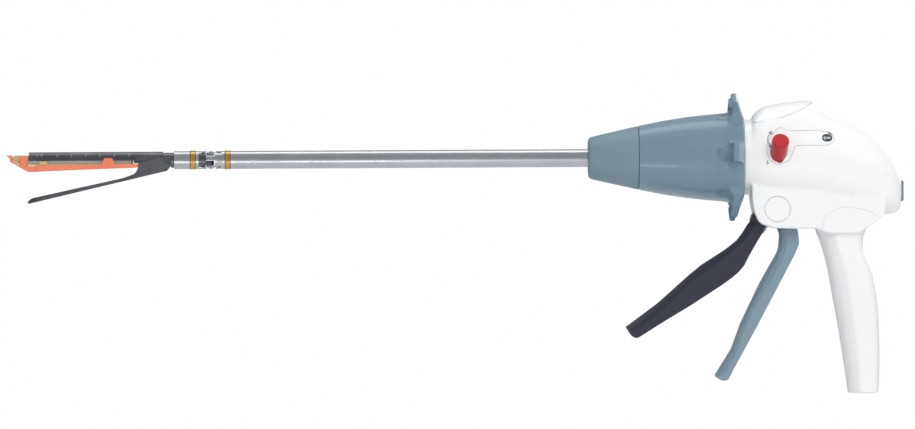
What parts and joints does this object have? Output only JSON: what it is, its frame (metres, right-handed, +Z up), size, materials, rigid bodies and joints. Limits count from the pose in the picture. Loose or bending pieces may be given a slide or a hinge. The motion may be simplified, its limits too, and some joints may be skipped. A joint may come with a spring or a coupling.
{
  "type": "linear surgical stapler",
  "caption": "Hand-held linear surgical stapler and cutter: pistol handle, two triggers, finned rotating nozzle, long shaft with an articulating jaw, cartridge and shipping retainer.",
  "frame": {"origin": "centre of the flat butt of the pistol grip", "axes": "+X along the shaft towards the back of the handle, so the jaws point to -X; +Z up from the butt to the barrel; the pictured side faces -Y"},
  "size_m": [0.6271, 0.0936, 0.2101],
  "materials": {
    "white_plastic": "gloss",
    "grey_blue_plastic": "satin",
    "navy_plastic": "satin",
    "steel": "brushed",
    "dark_steel": "satin",
    "gold": "polished",
    "salmon_plastic": "satin",
    "tan_plastic": "matte",
    "red_plastic": "gloss",
    "grey_plastic": "matte",
    "clear_plastic": "clear"
  },
  "bodies": {
    "handle": {"left_housing": "white_plastic", "right_housing": "white_plastic", "left_pivot_cap": "white_plastic", "right_pivot_cap": "white_plastic", "trigger_pin": "steel", "housing_screw_1": "steel", "housing_screw_2": "steel", "housing_screw_3": "steel", "left_frame_plate": "steel", "right_frame_plate": "steel", "gear_arbor": "steel", "indicator_lens": "clear_plastic", "closure_spring": "steel", "override_pin": "steel", "spring_seat": "grey_plastic", "release_spring": "steel"},
    "cover": {"override_cover": "white_plastic"},
    "closing_lever": {"closing_trigger": "grey_blue_plastic"},
    "firing_lever": {"firing_trigger": "navy_plastic"},
    "yoke": {"closure_yoke": "grey_plastic"},
    "rack": {"firing_rack": "steel"},
    "gear": {"drive_gear": "steel"},
    "switch": {"reverse_switch": "red_plastic"},
    "indicator": {"indicator_disc": "steel"},
    "release": {"release_button": "grey_blue_plastic", "release_bar": "steel"},
    "override": {"override_lever": "red_plastic"},
    "nozzle": {"nozzle_front": "grey_blue_plastic", "nozzle_hub": "grey_plastic", "spine": "steel", "upper_articulation_pin": "steel", "lower_articulation_pin": "steel", "collar_spring": "steel"},
    "collar": {"nozzle_collar": "grey_blue_plastic"},
    "outer_tube": {"closure_tube": "steel", "gold_ring_rear": "gold"},
    "links": {"upper_link": "steel", "lower_link": "steel"},
    "push_rod": {"firing_rod": "steel"},
    "jaw": {"cartridge_channel": "dark_steel", "cartridge_body": "tan_plastic", "cartridge_pan": "steel", "anvil_pin": "steel"},
    "distal_tube": {"distal_closure_tube": "steel", "gold_ring_front": "gold"},
    "anvil_jaw": {"anvil": "dark_steel"},
    "knife_body": {"knife": "steel", "wedge_sled": "tan_plastic", "firing_strip": "steel"},
    "retainer": {"staple_retainer": "salmon_plastic"}
  },
  "joints": [
    {"name": "nozzle_rotate", "type": "hinge", "parent": "handle", "child": "nozzle", "pos_m": [0, 0, 0.1655], "axis": [1, 0, 0], "continuous": true},
    {"name": "collar_pull", "type": "slide", "parent": "nozzle", "child": "collar", "axis": [1, 0, 0], "range_m": [0, 0.0035], "stiffness_N_per_m": 400, "deforming": ["collar_spring"]},
    {"name": "closing_squeeze", "type": "hinge", "parent": "handle", "child": "closing_lever", "pos_m": [-0.0606, 0, 0.1291], "axis": [0, -1, 0], "range_deg": [0, 30], "stiffness_Nm_per_rad": 0.4},
    {"name": "firing_squeeze", "type": "hinge", "parent": "closing_lever", "child": "firing_lever", "pos_m": [-0.0606, 0, 0.1291], "axis": [0, -1, 0], "range_deg": [0, 18], "stiffness_Nm_per_rad": 0.4},
    {"name": "yoke_slide", "type": "slide", "parent": "handle", "child": "yoke", "axis": [-1, 0, 0], "range_m": [0, 0.0012], "deforming": ["closure_spring"]},
    {"name": "outer_tube_slide", "type": "slide", "parent": "nozzle", "child": "outer_tube", "axis": [-1, 0, 0], "range_m": [0, 0.0012]},
    {"name": "articulation", "type": "hinge", "parent": "nozzle", "child": "jaw", "pos_m": [-0.4563, 0, 0.1655], "axis": [0, 0, 1], "range_deg": [-45, 45], "deforming": ["firing_strip"]},
    {"name": "link_swing", "type": "hinge", "parent": "outer_tube", "child": "links", "pos_m": [-0.4499, 0, 0.1655], "axis": [0, 0, 1], "range_deg": [-25, 25]},
    {"name": "distal_tube_slide", "type": "slide", "parent": "jaw", "child": "distal_tube", "axis": [-1, 0, 0], "range_m": [0, 0.0012]},
    {"name": "anvil_close", "type": "hinge", "parent": "jaw", "child": "anvil_jaw", "pos_m": [-0.4874, 0, 0.164], "axis": [0, 1, 0], "range_deg": [0, 10.5]},
    {"name": "rack_stroke", "type": "slide", "parent": "handle", "child": "rack", "axis": [-1, 0, 0], "range_m": [0, 0.06]},
    {"name": "gear_turn", "type": "hinge", "parent": "handle", "child": "gear", "pos_m": [-0.02, 0, 0.1525], "axis": [0, -1, 0], "range_deg": [0, 344]},
    {"name": "rod_stroke", "type": "slide", "parent": "nozzle", "child": "push_rod", "axis": [-1, 0, 0], "range_m": [0, 0.06]},
    {"name": "knife_stroke", "type": "slide", "parent": "jaw", "child": "knife_body", "axis": [-1, 0, 0], "range_m": [0, 0.06]},
    {"name": "retainer_pull", "type": "slide", "parent": "jaw", "child": "retainer", "axis": [-1, 0, 0], "range_m": [0, 0.115]},
    {"name": "reverse_slide", "type": "slide", "parent": "handle", "child": "switch", "axis": [0, 0, -1], "range_m": [0, 0.004]},
    {"name": "indicator_turn", "type": "hinge", "parent": "handle", "child": "indicator", "pos_m": [-0.026, 0, 0.1786], "axis": [0, 1, 0], "range_deg": [0, 180]},
    {"name": "release_press", "type": "slide", "parent": "handle", "child": "release", "axis": [-1, 0, 0], "range_m": [0, 0.003], "stiffness_N_per_m": 300, "deforming": ["release_spring"]},
    {"name": "override_lift", "type": "hinge", "parent": "handle", "child": "override", "pos_m": [-0.038, 0, 0.18], "axis": [0, 1, 0], "range_deg": [0, 30]},
    {"name": "cover_lift", "type": "slide", "parent": "handle", "child": "cover", "axis": [0, 0, 1], "range_m": [0, 0.03]}
  ],
  "couplings": [
    {"joint": "yoke_slide", "follows": "closing_squeeze", "m_per_rad": 0.0022918},
    {"joint": "outer_tube_slide", "follows": "closing_squeeze", "m_per_rad": 0.0022918},
    {"joint": "distal_tube_slide", "follows": "closing_squeeze", "m_per_rad": 0.0022918},
    {"joint": "anvil_close", "follows": "closing_squeeze", "ratio": 0.35},
    {"joint": "link_swing", "follows": "articulation", "ratio": 0.54},
    {"joint": "gear_turn", "follows": "rack_stroke", "rad_per_m": 100},
    {"joint": "rod_stroke", "follows": "rack_stroke", "ratio": 1},
    {"joint": "knife_stroke", "follows": "rack_stroke", "ratio": 1},
    {"joint": "indicator_turn", "follows": "reverse_slide", "rad_per_m": 785}
  ]
}
